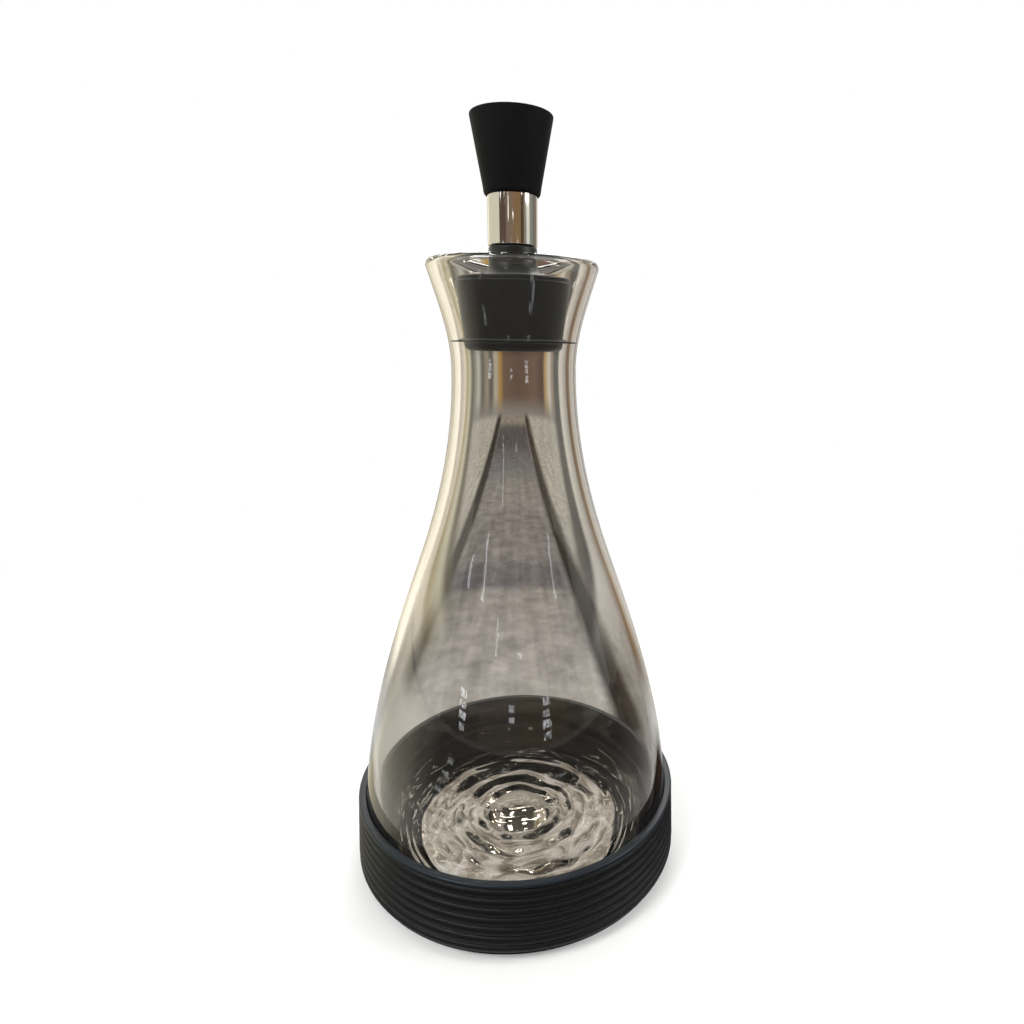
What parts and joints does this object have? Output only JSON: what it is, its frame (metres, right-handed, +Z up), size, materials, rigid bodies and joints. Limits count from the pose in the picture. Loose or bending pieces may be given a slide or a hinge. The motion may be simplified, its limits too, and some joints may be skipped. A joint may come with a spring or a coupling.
{
  "type": "oil dispenser bottle",
  "caption": "Waisted glass oil bottle in a ribbed silicone boot, with a silicone stopper, a steel pouring tube and a push-on cap.",
  "frame": {"origin": "centre of the underside of the boot, on the surface that the dispenser stands on", "axes": "+Z up along the common axis of the boot, bottle, stopper and cap; X and Y level, the vent hole of the pouring insert towards -X"},
  "size_m": [0.0936, 0.0936, 0.1979],
  "materials": {
    "boot_silicone": "matt moulded silicone",
    "bottle_glass": "clear polished glass",
    "plug_silicone": "satin moulded silicone",
    "core_plastic": "moulded black plastic",
    "tube_steel": "mirror-polished stainless steel",
    "insert_plastic": "natural moulded plastic",
    "cap_silicone": "matt soft-touch silicone",
    "stem_plastic": "moulded black plastic"
  },
  "bodies": {
    "boot": {"base_boot": "boot_silicone"},
    "bottle": {"glass_bottle": "bottle_glass"},
    "stopper": {"stopper_plug": "plug_silicone", "stopper_core": "core_plastic", "pour_tube": "tube_steel", "pour_insert": "insert_plastic"},
    "cap": {"cap_shell": "cap_silicone", "cap_stem": "stem_plastic"}
  },
  "joints": [
    {"name": "bottle_lift", "type": "slide", "parent": "boot", "child": "bottle", "axis": [0, 0, 1], "range_m": [0, 0.03]},
    {"name": "stopper_pull", "type": "slide", "parent": "bottle", "child": "stopper", "axis": [0, 0, 1], "range_m": [0, 0.028]},
    {"name": "cap_pull", "type": "slide", "parent": "stopper", "child": "cap", "axis": [0, 0, 1], "range_m": [0, 0.018]}
  ]
}
